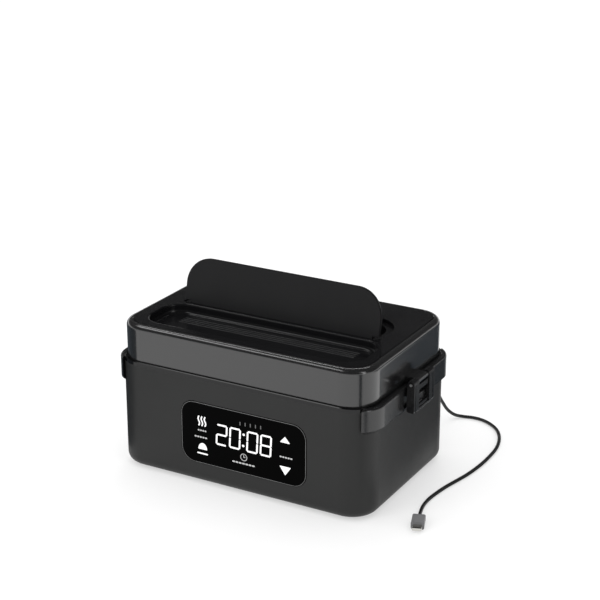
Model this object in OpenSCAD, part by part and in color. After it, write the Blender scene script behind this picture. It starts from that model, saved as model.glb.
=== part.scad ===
// Electric lunch box: a battery-heated base, a lift-out steel food container with its
// own inner lid, and a lift-off lid with two side latches, a phone tray and a flap that
// covers the cutlery well or stands up to hold a phone. Millimetres, +Z up.
// The origin is on the table, under the middle of the base.

/* [Base] */
// Width of the base
base_w = 240; // [232:1:256]
// Depth of the base
base_d = 160; // [156:1:172]
// Height of the base's top rim above the table
base_h = 99; // [97:1:110]
// Radius of the upright corners
corner_r = 24; // [22:0.5:26]
// Wall thickness of the moulded shells
wall_t = 2.6; // [2.2:0.1:2.9]
// Radius of the edge round the underside
bottom_edge_r = 8; // [6.5:0.5:9]
// Height of the rubber feet below the shell
foot_h = 1.6; // [1:0.1:2.4]
// Diameter of a rubber foot
foot_d = 14; // [10:1:16]
// Thickness of the bottom cover
cover_t = 2.2; // [1.8:0.1:2.6]
// Distance from the outside of the shell to the bottom cover's edge
cover_inset = 11.2; // [10.5:0.1:12]

/* [Deck] */
// Height of the deck frame above the shell's wall
deck_h = 3.4; // [3:0.1:4]
// Depth of the channel that the lid's skirt stands in
channel_depth = 1.6; // [1.2:0.1:1.8]
// Width of the outer rim of the deck
rim_w = 1.7; // [1.4:0.1:1.9]
// Width of the rounded lip round the opening
lip_w = 3; // [2.4:0.1:3.6]
// Height of that lip above the outer rim
lip_rise = 0.6; // [0.4:0.1:1]

/* [End collars] */
// Where a collar starts round the corner, past the corner's axis
collar_start = 17.5; // [14:0.5:18]
// How far a collar stands out from the end wall
collar_out = 4; // [3.6:0.1:4.4]
// Height of a collar's band
collar_h = 22.3; // [20:0.1:25]
// Width of the pocket for the latch
pocket_w = 42.4; // [41.6:0.2:46]
// Depth of the pocket behind the end wall's face
pocket_in = 3; // [2.5:0.1:3.6]
// Width of the hook that the latch catches
hook_w = 16; // [12:1:18]
// Thickness of the hook's plate and lip
hook_t = 2.4; // [1.8:0.1:2.6]
// Height of the hook's lip
hook_lip_h = 6.7; // [5:0.1:7]
// Depth of the hook's top below the base's rim
hook_drop = 10; // [9:0.1:10.5]

/* [Display] */
// Width of the display window
window_w = 120; // [100:1:126]
// Height of the display window
window_h = 56; // [48:1:58]
// Corner radius of the display window
window_r = 13; // [8:0.5:16]
// Thickness of the display window
window_t = 1.7; // [1.4:0.1:2]
// Sideways offset of the window's middle
window_x = 7; // [-2:1:8]
// Height of the window's middle above the table
window_z = 48; // [46:0.5:50]

/* [Food container] */
// Distance from the base's ends to the container's, under its shoulder
side_margin = 19; // [18.5:0.5:22]
// Distance from the base's front and back to the container's, under its shoulder
front_margin = 16; // [15.5:0.5:18]
// Corner radius of the container under its shoulder
container_r = 22; // [20:0.5:23]
// How much each side leans in from shoulder to bottom
container_taper = 6; // [4:0.5:7]
// Height of the container's underside above the table
container_low_z = 53.9; // [52:0.1:58]
// Height of the straight band under the shoulder
band_h = 11; // [9:0.5:12]
// Step inwards under that band
band_step = 0.8; // [0.5:0.1:1]
// Height of the neck above the shoulder
neck_h = 8; // [7:0.5:8.5]
// Width of the shoulder
shoulder_w = 7; // [6.5:0.1:7.1]
// Thickness of the steel sheet
sheet_t = 0.8; // [0.6:0.1:1]
// Radius of the rounded bottom edge
container_edge_r = 6; // [5:0.5:7]
// How far the rolled rim stands out from the neck
rim_out = 2.5; // [2:0.1:2.6]
// Gap between the container and the heated well
well_gap = 1.5; // [1.2:0.1:1.8]

/* [Heating] */
// Thickness of the aluminium well
well_t = 1; // [0.8:0.1:1.2]
// Width of the well's flange
flange_w = 5.2; // [4.9:0.1:5.4]
// Thickness of the heater plate
heater_t = 1.6; // [1.2:0.1:2]
// Thickness of the felt jacket
felt_t = 3.4; // [3:0.1:3.8]

/* [Inner lid] */
// Thickness of the inner lid's plate
plate_t = 1.6; // [1.2:0.1:1.8]
// Height of the silicone seal on its edge
seal_h = 4; // [3.6:0.1:4.4]
// Width of that seal
seal_w = 3.2; // [2.8:0.1:3.6]
// Diameter of the vent plug's cap
plug_d = 44; // [36:1:48]
// Height of the vent plug's cap
plug_h = 7.6; // [6:0.1:8]
// Diameter of the vent plug's stem
stem_d = 9.4; // [8:0.1:11]
// How far the vent plug pulls up
plug_lift = 3; // [2:0.5:3]

/* [Lid] */
// Height of the lid
lid_h = 33.3; // [32.5:0.1:36]
// How far the lid's sides stand in from the base's
lid_inset = 2; // [1.9:0.1:2.4]
// Radius of the lid's top edge
lid_edge_r = 5; // [4:0.1:5.2]
// Width of the frame round the lid's top panel
lid_frame_w = 6; // [5.8:0.1:6.6]
// Thickness of the lid's top panel
panel_t = 2; // [1.8:0.1:2.4]
// Wall thickness of the wells in the top panel
tub_t = 1.8; // [1.4:0.1:2]
// Distance from the lid's ends to the phone tray's
tray_end_gap = 16; // [15:0.5:28]
// Distance from the lid's front to the phone tray
tray_front_gap = 15; // [14:0.5:17]
// Width of the phone tray
tray_w = 50; // [44:1:51]
// Depth of the phone tray
tray_depth = 9; // [7:0.5:10]
// Corner radius of the phone tray
tray_r = 18; // [14:0.5:20]
// Depth of the cutlery well
well_depth = 10.5; // [9:0.5:10.5]
// Thickness of the lid's liner
liner_t = 1.2; // [1:0.1:1.4]
// Height of the lid's gasket
gasket_h = 8.6; // [8.4:0.1:9]

/* [Stand flap] */
// Distance from the lid's ends to the stand flap's
flap_end_gap = 24; // [23:0.5:33]
// Length of the flap from its hinge to its free edge
flap_len = 43; // [38:1:44]
// Thickness of the flap
flap_t = 2.4; // [2:0.1:2.8]
// Radius of the flap's free corners
flap_r = 24; // [12:1:26]
// Angle of the raised flap from flat
flap_angle = 79; // [70:1:85]
// Diameter of the flap's hinge pin
flap_pin_d = 2; // [1.6:0.1:2.2]

/* [Latches] */
// Width of a latch
latch_w = 38.4; // [37:0.2:38.8]
// Length of a latch below its pin
latch_len = 25.7; // [25:0.1:27]
// Depth of a latch's side ribs
latch_depth = 6.6; // [6.2:0.1:7]
// Width of each side rib
latch_rib_w = 9.6; // [9:0.1:9.8]
// Thickness of the latch's web
latch_web_t = 1.8; // [1.6:0.1:2.2]
// Diameter of a latch pin
latch_pin_d = 2.4; // [2:0.1:2.6]

/* [Inside the base] */
// Diameter of a battery cell
cell_d = 18.4; // [18:0.1:21]
// Thickness of the circuit boards
board_t = 1.6; // [1.2:0.1:1.8]
// Height of the main board's underside above the table
board_z = 30.4; // [29:0.1:32]
// Diameter of the free cable
lead_d = 3; // [2.6:0.1:3.6]

/* [Hidden] */
$fn = 48;

// Clearances
seat_gap = 0.3;    // between bodies that rest on each other
fit_gap = 0.2;     // between moulded pieces of one body
pin_gap = 0.3;     // round a pin that turns in its bore
press_gap = 0.05;  // round a pin that is held in its bore
reach = 60;        // length of a cut that runs right out of a piece

// Corner axes of the base, the lid and the container
base_ax = base_w / 2 - corner_r;
base_ay = base_d / 2 - corner_r;
lid_ax = base_ax - lid_inset;
lid_ay = base_ay - lid_inset;
food_ax = base_w / 2 - side_margin - container_r;
food_ay = base_d / 2 - front_margin - container_r;

// Heights in the base
deck_seat_z = base_h - deck_h;
channel_z = base_h - channel_depth;
lip_z = base_h + lip_rise;
lip_foot_r = container_r + well_gap;
cover_top_z = foot_h + cover_t;
cover_r = corner_r - cover_inset;
ledge_t = 1.6;
cover_lap = 3;
collar_low_z = base_h - fit_gap - collar_h;
pocket_roof_z = base_h - 5.4;
pocket_wall = 1.6;
hook_z = base_h - hook_drop;

// Heights of the container and its lid
shoulder_z = lip_z + seat_gap;
food_z = container_low_z;
body_depth = shoulder_z - food_z;
neck_top_z = shoulder_z + neck_h;
neck_r = container_r + shoulder_w;
band_z = shoulder_z - band_h;
lean = atan(container_taper / (body_depth - band_h));
seal_z = shoulder_z + sheet_t + seat_gap;
seal_r = neck_r - sheet_t - 0.6;
plate_z = seal_z + (seal_h - plate_t) / 2;
plug_z = plate_z + plate_t + seat_gap;

// The heated well follows the container
flange_top_z = deck_seat_z - 0.6;
well_floor_z = food_z - 0.5;
well_base_z = well_floor_z - well_t;
heater_z = well_base_z - heater_t;
jacket_r = lip_foot_r + well_t + 0.3;

// Heights in the lid
lid_z = channel_z + seat_gap;
lid_top_z = lid_z + lid_h;
liner_z = neck_top_z + gasket_h + 0.4;
panel_z = lid_top_z - panel_t;
panel_lip_z = lid_top_z - 2.4 - fit_gap;
recess_edge_r = 1.6;
tray_hinge_gap = 7;
flap_w = base_w - 2 * lid_inset - 2 * flap_end_gap;
flap_seat_z = lid_top_z - flap_t - 2 * seat_gap;
hinge_z = flap_seat_z + seat_gap;
flap_wide_y = 4.2;
ear_len = 4.6;
barrel_half = flap_w / 2 - 6.5;
tray_len = base_w - 2 * lid_inset - 2 * tray_end_gap;
tray_y = lid_inset - base_d / 2 + tray_front_gap + tray_w / 2;
hinge_y = tray_y + tray_w / 2 + tray_hinge_gap;

// Latch geometry
lug_r = 2.6;
latch_x = base_w / 2 + collar_out + 1.5 + latch_depth / 2;
latch_z = base_h + 0.4 + lug_r;
web_x = latch_x + 0.4;
hook_tip_x = web_x - 0.5;
bar_top_z = hook_z - hook_lip_h - 0.5;

// ---------------------------------------------------------------- shared forms

// Carries a profile round a rounded rectangle. The profile's x is measured outwards
// from the corner axes at (ax, ay), and its y is the height.
module frame_sweep(ax, ay) {
    for (q = [[1, 1, 0], [-1, 1, 90], [-1, -1, 180], [1, -1, 270]])
        translate([q[0] * ax, q[1] * ay, 0])
            rotate([0, 0, q[2]]) rotate_extrude(angle = 90) children();
    for (turn = [0, 180]) rotate([0, 0, turn]) {
        translate([ax, ay, 0]) rotate([90, 0, 0]) linear_extrude(2 * ay) children();
        translate([-ax, ay, 0]) rotate([90, 0, 90]) linear_extrude(2 * ax) children();
    }
}

// Outline of a rounded rectangle with its corner axes at (ax, ay)
module slab_outline(ax, ay, r) {
    square([2 * (ax + r), 2 * ay], center = true);
    square([2 * ax, 2 * (ay + r)], center = true);
    for (x = [-ax, ax], y = [-ay, ay]) translate([x, y]) circle(r);
}

// Flat slab of that outline between two heights
module slab(ax, ay, r, z0, z1) {
    translate([0, 0, z0]) linear_extrude(z1 - z0) slab_outline(ax, ay, r);
}

// Slab whose upper edge has a bevel
module bevelled_slab(ax, ay, r, h, bevel) {
    frame_sweep(ax, ay)
        polygon([[0, 0], [r, 0], [r, h - bevel], [r - bevel, h], [0, h]]);
    translate([-ax, -ay, 0]) cube([2 * ax, 2 * ay, h]);
}

// Quarter disc in the quadrant of the signs sx and sy
module quarter(r, sx, sy) {
    intersection() {
        circle(r);
        translate([sx > 0 ? 0 : -r, sy > 0 ? 0 : -r]) square(r);
    }
}

// Repeats its children in all four quadrants
module four_corners() {
    children();
    mirror([1, 0, 0]) children();
    mirror([0, 1, 0]) children();
    mirror([1, 0, 0]) mirror([0, 1, 0]) children();
}

// Half section of a cup: r_top wide and straight from z_top down to z_turn, then stepped
// in and leaning in down to z_low, with a rounded bottom edge
module cup_section(r_top, z_top, z_turn, z_low, edge_r, step) {
    r_turn = r_top - step;
    r_low = r_turn - (z_turn - step - z_low) * tan(lean);
    arc_x = r_low - edge_r * tan(45 - lean / 2);
    arc_z = z_low + edge_r;
    translate([arc_x, arc_z]) circle(edge_r);
    polygon(concat([[0, z_low], [arc_x, z_low], [arc_x, arc_z],
        [arc_x + edge_r * cos(lean), arc_z - edge_r * sin(lean)]],
        step > 0 ? [[r_turn, z_turn - step]] : [],
        [[r_top, z_turn], [r_top, z_top], [0, z_top]]));
}

// Countersunk screw pointing up, its head's face at z = 0
module screw(shank_d, shank_len, head_d) {
    difference() {
        union() {
            cylinder(h = 1.4, d = head_d, $fn = 32);
            translate([0, 0, 1.4]) cylinder(h = shank_len, d = shank_d, $fn = 32);
        }
        for (turn = [0, 90]) rotate([0, 0, turn])
            translate([-head_d * 0.3, -0.4, -0.1]) cube([head_d * 0.6, 0.8, 0.9]);
    }
}

// ---------------------------------------------------------------- base shell

module housing_profile() {
    edge_x = corner_r - bottom_edge_r;
    edge_z = foot_h + bottom_edge_r;
    difference() {
        union() {
            translate([edge_x, edge_z]) quarter(bottom_edge_r, 1, -1);
            translate([cover_r + fit_gap, foot_h])
                square([edge_x - cover_r - fit_gap, bottom_edge_r]);
            translate([edge_x, edge_z]) square([bottom_edge_r, deck_seat_z - edge_z]);
        }
        translate([edge_x, edge_z]) circle(bottom_edge_r - wall_t);
        translate([0, foot_h + wall_t]) square([edge_x, base_h]);
        translate([0, edge_z]) square([corner_r - wall_t, base_h]);
    }
    // Ledge that the bottom cover closes against
    translate([cover_r - cover_lap, cover_top_z + fit_gap])
        square([edge_x - cover_r + cover_lap, ledge_t]);
}

post_in = 6;
post_r = 4;
post_top_z = 40;
post_bore_d = 2.7;
post_bore_len = 12;

// Screw post in a corner, tied to the corner wall by a rib
module housing_post() {
    rib_low_z = foot_h + bottom_edge_r + 0.4;
    rib_len = corner_r - wall_t + 0.8 - post_in * sqrt(2);
    translate([base_ax + post_in, base_ay + post_in, 0]) difference() {
        union() {
            translate([0, 0, cover_top_z + fit_gap])
                cylinder(h = post_top_z - cover_top_z - fit_gap, r = post_r);
            rotate([0, 0, 45]) translate([0, -1.2, rib_low_z])
                cube([rib_len, 2.4, post_top_z - rib_low_z]);
        }
        cylinder(h = cover_top_z + post_bore_len, d = post_bore_d);
    }
}

// Cut along Y with the window's outline, from the outside inwards
module window_cut(shrink, y_from, y_to) {
    translate([window_x, y_to, window_z]) rotate([90, 0, 0])
        linear_extrude(y_to - y_from)
            slab_outline(window_w / 2 - window_r, window_h / 2 - window_r, window_r - shrink);
}

window_ledge = 3.5;
window_seat = 1.4;
usb_x = base_ax - 12;
inlet_x = usb_x - 28;
port_z = board_z + board_t + 3.2;
usb_shell_w = 13.2;
usb_shell_h = 5.8;
usb_shell_t = 0.35;
inlet_w = 9;
inlet_h = 3.3;
peg_x = window_w / 2 - 5.5;
peg_z = window_h / 2 - 5.5;

module base_housing() {
    front_y = -base_d / 2;
    color([0.2, 0.2, 0.21]) {
        difference() {
            frame_sweep(base_ax, base_ay) housing_profile();
            // Seat and opening of the display window
            window_cut(0, front_y - 1, front_y + window_seat);
            window_cut(window_ledge, front_y - 1, front_y + wall_t + 1);
            // Notches for the latch pockets
            for (side = [-1, 1])
                translate([side * base_w / 2 - 5, -pocket_w / 2 - pocket_wall - fit_gap,
                    collar_low_z - pocket_wall - fit_gap])
                    cube([10, pocket_w + 2 * (pocket_wall + fit_gap), reach]);
            // Openings for the two sockets in the back
            translate([usb_x - usb_shell_w / 2 - fit_gap, base_d / 2 - wall_t - 1,
                port_z - usb_shell_h / 2 - fit_gap])
                cube([usb_shell_w + 2 * fit_gap, wall_t + 2, usb_shell_h + 2 * fit_gap]);
            translate([inlet_x, base_d / 2 + 1, port_z]) rotate([90, 0, 0])
                linear_extrude(wall_t + 2)
                    slab_outline((inlet_w - inlet_h) / 2, 0.01, inlet_h / 2 + fit_gap);
        }
        four_corners() housing_post();
        // Pegs that carry the display board
        for (x = [-peg_x, peg_x], z = [-peg_z, peg_z])
            translate([window_x + x, display_board_y, window_z + z]) rotate([90, 0, 0])
                cylinder(h = display_board_y + base_d / 2 - wall_t + 0.5, r = 2, $fn = 32);
    }
}

// ---------------------------------------------------------------- deck and collars

module deck_frame() {
    locator_r = corner_r - wall_t - fit_gap;
    rim_bevel = 0.5;
    rim_in_r = corner_r - rim_w;
    color([0.05, 0.05, 0.055]) difference() {
        union() {
            // Plate between the outer rim and the lip
            difference() {
                slab(base_ax, base_ay, rim_in_r + 0.8, deck_seat_z, channel_z);
                slab(food_ax, food_ay, lip_foot_r + 0.7, deck_seat_z - 1, channel_z + 1);
            }
            // Outer rim with a fine bevel
            frame_sweep(base_ax, base_ay) polygon([
                [rim_in_r, deck_seat_z], [corner_r, deck_seat_z],
                [corner_r, base_h - rim_bevel], [corner_r - rim_bevel, base_h],
                [rim_in_r + rim_bevel, base_h], [rim_in_r, base_h - rim_bevel]]);
            // Rounded lip that the container's shoulder sits on
            frame_sweep(food_ax, food_ay) {
                translate([lip_foot_r, deck_seat_z])
                    square([lip_w, lip_z - lip_w / 2 - deck_seat_z]);
                translate([lip_foot_r + lip_w / 2, lip_z - lip_w / 2]) circle(lip_w / 2);
            }
            // Locating ring inside the shell's wall, open at the latch pockets
            difference() {
                frame_sweep(base_ax, base_ay)
                    translate([locator_r - 1.6, deck_seat_z - 4]) square([1.6, 4.4]);
                for (side = [-1, 1])
                    translate([side * base_w / 2 - 8, -pocket_w / 2 - 2, deck_seat_z - 5])
                        cube([16, pocket_w + 4, 5]);
            }
        }
        well_screw_places() translate([0, 0, deck_seat_z - 1])
            cylinder(h = 2.3, d = 1.9, $fn = 32);
    }
}

// Section of the band round a short end: flat face, chamfer below, rounded edge above
module collar_profile() {
    inner_r = corner_r - 8;
    top_z = base_h - fit_gap;
    edge_r = 2;
    chamfer = collar_out - 0.8;
    polygon([[inner_r, collar_low_z], [corner_r - chamfer, collar_low_z],
        [corner_r, collar_low_z + chamfer], [corner_r, top_z - edge_r],
        [corner_r - edge_r, top_z - edge_r], [corner_r - edge_r, top_z], [inner_r, top_z]]);
    translate([corner_r - edge_r, top_z - edge_r]) quarter(edge_r, 1, 1);
}

// The band follows the end wall's outline, moved outwards, so it dies out in the corners
module collar_band() {
    ax = base_ax + collar_out;
    difference() {
        union() {
            for (s = [0, 1]) mirror([0, s, 0]) translate([ax, base_ay, 0])
                rotate_extrude(angle = 90) collar_profile();
            translate([ax, base_ay, 0]) rotate([90, 0, 0])
                linear_extrude(2 * base_ay) collar_profile();
        }
        slab(base_ax, base_ay, corner_r + press_gap, collar_low_z - 1, base_h + 1);
        translate([ax - reach, -base_d, collar_low_z - 1])
            cube([reach - collar_out + collar_start, 2 * base_d, reach]);
    }
}

// Hook in the pocket: a plate that runs outwards and a lip that turns down
module latch_hook() {
    inner_x = base_w / 2 - pocket_in - 0.5;
    translate([0, hook_w / 2, 0]) rotate([90, 0, 0]) linear_extrude(hook_w) {
        translate([inner_x, hook_z - hook_t])
            square([hook_tip_x - hook_t / 2 - inner_x, hook_t]);
        translate([hook_tip_x - hook_t, hook_z - hook_lip_h])
            square([hook_t, hook_lip_h - hook_t / 2]);
        translate([hook_tip_x - hook_t / 2, hook_z - hook_t / 2]) circle(hook_t / 2);
    }
}

module end_collar() {
    x0 = base_w / 2;
    color([0.13, 0.13, 0.14]) {
        difference() {
            union() {
                collar_band();
                // Box of the latch pocket, in the notch of the end wall
                translate([x0 - pocket_in - pocket_wall, -pocket_w / 2 - pocket_wall,
                    collar_low_z - pocket_wall])
                    cube([pocket_in + pocket_wall, pocket_w + 2 * pocket_wall,
                        pocket_roof_z - collar_low_z + 2 * pocket_wall]);
                // Ties the box to the band
                translate([x0 - 1, -pocket_w / 2 - pocket_wall, collar_low_z + 1])
                    cube([2, pocket_w + 2 * pocket_wall,
                        pocket_roof_z - collar_low_z - 1 + pocket_wall]);
            }
            translate([x0 - pocket_in, -pocket_w / 2, collar_low_z])
                cube([pocket_in + collar_out + 1, pocket_w, pocket_roof_z - collar_low_z]);
        }
        latch_hook();
    }
}

module end_collar_right() { end_collar(); }

module end_collar_left() { mirror([1, 0, 0]) end_collar(); }

// ---------------------------------------------------------------- display

module display_window() {
    front_y = -base_d / 2;
    color([0.02, 0.02, 0.02])
        translate([window_x, front_y + window_seat, window_z]) rotate([90, 0, 0])
            bevelled_slab(window_w / 2 - window_r, window_h / 2 - window_r,
                window_r - 0.15, window_t, 0.5);
}

module_t = 2.4;
display_board_y = -base_d / 2 + wall_t + fit_gap + module_t;

// Light box with the digits' seven segments, behind the window
module display_module() {
    inner_y = -base_d / 2 + wall_t + fit_gap;
    w = window_w - 2 * window_ledge - 14;
    h = window_h - 2 * window_ledge - 10;
    color([0.85, 0.85, 0.82]) translate([window_x - w / 2, inner_y, window_z - h / 2])
        cube([w, module_t, h]);
}

module display_board() {
    w = window_w + 1;
    h = window_h - 2;
    color([0.05, 0.25, 0.12])
        translate([window_x - w / 2, display_board_y, window_z - h / 2])
            cube([w, board_t * 0.75, h]);
}

// ---------------------------------------------------------------- heating

// Places of the six screws that hold the well to the deck frame
module well_screw_places() {
    r = lip_foot_r + well_t + 2.1;
    for (x = [-food_ax * 0.6, food_ax * 0.6], s = [-1, 1])
        translate([x, s * (food_ay + r), 0]) children();
    for (s = [-1, 1]) translate([s * (food_ax + r), 0, 0]) children();
}

module heating_well() {
    color([0.75, 0.75, 0.77]) difference() {
        union() {
            frame_sweep(food_ax, food_ay) difference() {
                cup_section(lip_foot_r + well_t, flange_top_z, band_z, well_base_z,
                    container_edge_r + 1 + well_t, 0);
                cup_section(lip_foot_r, flange_top_z + 1, band_z, well_floor_z,
                    container_edge_r + 1, 0);
            }
            translate([-food_ax, -food_ay, well_base_z])
                cube([2 * food_ax, 2 * food_ay, well_t]);
            frame_sweep(food_ax, food_ay)
                translate([lip_foot_r + well_t / 2, flange_top_z - well_t])
                    square([flange_w - well_t / 2, well_t]);
        }
        well_screw_places() translate([0, 0, flange_top_z - well_t - 1])
            cylinder(h = well_t + 2, d = 2.4, $fn = 32);
    }
}

module well_gasket() {
    color([0.2, 0.2, 0.2]) difference() {
        frame_sweep(food_ax, food_ay)
            translate([lip_foot_r + 0.2, flange_top_z])
                square([flange_w - 0.4, deck_seat_z - flange_top_z]);
        well_screw_places() translate([0, 0, flange_top_z - 1])
            cylinder(h = 3, d = 2.4, $fn = 32);
    }
}

module well_screws() {
    color([0.7, 0.7, 0.72]) well_screw_places()
        translate([0, 0, flange_top_z - well_t - 1.4]) screw(1.8, 2.6, 3.8);
}

module heater_plate() {
    color([0.55, 0.5, 0.35]) slab(food_ax, food_ay, 7, heater_z, well_base_z);
}

sensor_x = 30;

// Bead sensor in a clip, pressed against the heater plate's underside
module temperature_sensor() {
    color([0.8, 0.7, 0.3]) translate([sensor_x, 0, heater_z - 3.4]) {
        cylinder(h = 3.4, d = 6, $fn = 32);
        translate([-4.5, -7, 2.2]) cube([9, 14, 1.2]);
    }
}

fuse_len = 16;
fuse_lead_len = 40;
fuse_d = 4;

module thermal_fuse() {
    color([0.9, 0.9, 0.85]) translate([-sensor_x, 0, heater_z - fuse_d / 2])
        rotate([0, 90, 0]) {
            translate([0, 0, -fuse_len / 2]) cylinder(h = fuse_len, d = fuse_d, $fn = 32);
            translate([0, 0, -fuse_lead_len / 2])
                cylinder(h = fuse_lead_len, d = 1, $fn = 32);
        }
}

// Felt tub round the well and the heater
module insulation_jacket() {
    floor_z = heater_z - felt_t;
    wall_top_z = flange_top_z - well_t - 2;
    color([0.85, 0.82, 0.72]) difference() {
        union() {
            frame_sweep(food_ax, food_ay) polygon([
                [0, floor_z], [jacket_r + felt_t, floor_z], [jacket_r + felt_t, wall_top_z],
                [jacket_r, wall_top_z], [jacket_r, heater_z], [0, heater_z]]);
            translate([-food_ax, -food_ay, floor_z])
                cube([2 * food_ax, 2 * food_ay, heater_z - floor_z]);
        }
        // Holes for the sensor and the fuse
        translate([sensor_x, 0, floor_z - 1]) cylinder(h = felt_t + 2, d = 18, $fn = 32);
        translate([-sensor_x - fuse_lead_len / 2 - 1, -fuse_d, floor_z - 1])
            cube([fuse_lead_len + 2, 2 * fuse_d, felt_t + 2]);
    }
}

// ---------------------------------------------------------------- bottom of the base

board_len = 88;
board_depth = 112;
board_high_x = base_ax - 2;
board_low_x = board_high_x - board_len;
board_high_y = base_ay + cover_r - cover_lap + fit_gap;
board_low_y = board_high_y - board_depth;
standoff_in = 5;
foot_in = 16;

module foot_places() {
    four_corners() translate([base_w / 2 - corner_r - foot_in / 2,
        base_d / 2 - corner_r + foot_in / 8, 0]) children();
}

module cover_screw_places() {
    four_corners() translate([base_ax + post_in, base_ay + post_in, 0]) children();
}

module bottom_cover() {
    vent_w = 3;
    vent_len = 26;
    color([0.16, 0.16, 0.17]) difference() {
        union() {
            slab(base_ax, base_ay, cover_r, foot_h, cover_top_z);
            // Standoffs under the main board
            for (x = [board_low_x + standoff_in, board_high_x - standoff_in],
                y = [board_low_y + standoff_in, board_high_y - standoff_in])
                translate([x, y, cover_top_z - 0.5])
                    cylinder(h = board_z - cover_top_z + 0.5, r = 3.2);
        }
        cover_screw_places() translate([0, 0, foot_h - 1]) {
            cylinder(h = 1 + 1.6, d = 6.4);
            cylinder(h = cover_t + 2, d = 3.2);
        }
        foot_places() translate([0, 0, foot_h - 1]) cylinder(h = 1.8, d = foot_d + 0.4);
        // Row of vent slots under the main board
        for (i = [-4:4]) translate([(board_low_x + board_high_x) / 2 + i * 7 - vent_w / 2,
            -vent_len / 2, foot_h - 1]) cube([vent_w, vent_len, cover_t + 2]);
    }
}

module cover_screws() {
    color([0.6, 0.6, 0.62]) cover_screw_places()
        translate([0, 0, foot_h + 0.2]) screw(2.6, 9, 6);
}

module rubber_feet() {
    color([0.1, 0.1, 0.1]) foot_places()
        cylinder(h = foot_h + 0.8, d = foot_d);
}

// ---------------------------------------------------------------- battery and boards

cell_pitch = cell_d + 0.8;
cell_columns = 4;
tray_wall = 2;
cell_len = base_ay + cover_r - cover_lap - 0.8;
cell_x = post_r + 2 * fit_gap + tray_wall + cell_pitch / 2 - base_ax - post_in;
cell_y = cell_len / 2 + 0.6;
tray_floor_z = cover_top_z + 0.1;
cell_z = tray_floor_z + tray_wall + cell_d / 2 + 0.1;
tray_h = cell_d * 0.55;

module battery_tray() {
    w = cell_columns * cell_pitch + 2 * tray_wall;
    d = 2 * cell_len + 1;
    color([0.12, 0.12, 0.13]) difference() {
        translate([cell_x - cell_pitch / 2 - tray_wall, -d / 2, tray_floor_z]) cube([w, d, tray_h]);
        for (i = [0:cell_columns - 1])
            translate([cell_x + i * cell_pitch, -d / 2 - 1, cell_z])
                rotate([-90, 0, 0]) cylinder(h = d + 2, d = cell_d + 0.2);
    }
}

module battery_cells() {
    color([0.15, 0.45, 0.6])
        for (i = [0:cell_columns - 1], s = [-1, 1])
            translate([cell_x + i * cell_pitch, s * cell_y - cell_len / 2, cell_z])
                rotate([-90, 0, 0]) cylinder(h = cell_len, d = cell_d);
}

// Nickel strips that join the cells in pairs at their ends
module battery_strips() {
    strip_t = 0.3;
    strip_z = tray_floor_z + tray_h + fit_gap;
    color([0.8, 0.8, 0.78])
        for (i = [0, 2], s = [-1, 1], e = [-1, 1])
            translate([cell_x + i * cell_pitch - 4,
                s * cell_y + e * cell_len / 2 - (e < 0 ? strip_t : 0), strip_z])
                cube([cell_pitch + 8, strip_t, 5]);
}

module main_board() {
    color([0.05, 0.28, 0.14]) difference() {
        translate([board_low_x, board_low_y, board_z])
            cube([board_high_x - board_low_x, board_high_y - board_low_y, board_t]);
        for (x = [board_low_x + standoff_in, board_high_x - standoff_in],
            y = [board_low_y + standoff_in, board_high_y - standoff_in])
            translate([x, y, board_z - 1]) cylinder(h = board_t + 2, d = 3, $fn = 32);
    }
}

// Coil, capacitors, relay and converter on the main board
module board_parts() {
    top_z = board_z + board_t;
    color([0.2, 0.2, 0.22]) translate([board_low_x, board_low_y, top_z]) {
        translate([34, 36, 0]) difference() {
            cylinder(h = 8, d = 22);
            translate([0, 0, -1]) cylinder(h = 10, d = 10);
        }
        for (i = [0:2]) translate([18 + i * 12, 70, 0]) cylinder(h = 11, d = 9);
        translate([60, 16, 0]) cube([18, 16, 12]);
        translate([60, 52, 0]) cube([14, 14, 2]);
        translate([14, 10, 0]) cube([22, 8, 6]);
    }
}

module usb_socket_shell() {
    inner_w = usb_shell_w - 2 * usb_shell_t;
    inner_h = usb_shell_h - 2 * usb_shell_t;
    len = 15;
    color([0.75, 0.75, 0.77]) translate([usb_x, base_d / 2 - 0.3, port_z]) difference() {
        translate([-usb_shell_w / 2, -len, -usb_shell_h / 2])
            cube([usb_shell_w, len, usb_shell_h]);
        translate([-inner_w / 2, -len + 1, -inner_h / 2]) cube([inner_w, len, inner_h]);
    }
}

module usb_socket_tongue() {
    color([0.9, 0.9, 0.9]) translate([usb_x - 5.5, base_d / 2 - 14.3, port_z + 0.05])
        cube([11, 12, 1.7]);
}

// Small inlet for the charger, with its contact tongue
module charge_inlet() {
    len = 8;
    half = (inlet_w - inlet_h) / 2;
    color([0.7, 0.7, 0.72]) translate([inlet_x, base_d / 2 - 0.3, port_z])
        rotate([90, 0, 0]) {
            difference() {
                linear_extrude(len) slab_outline(half, 0.01, inlet_h / 2);
                translate([0, 0, -1]) linear_extrude(len)
                    slab_outline(half, 0.01, inlet_h / 2 - 0.35);
            }
            translate([-half, -0.35, 0.8]) cube([2 * half, 0.7, len - 1]);
        }
}

// ---------------------------------------------------------------- food container

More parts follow.
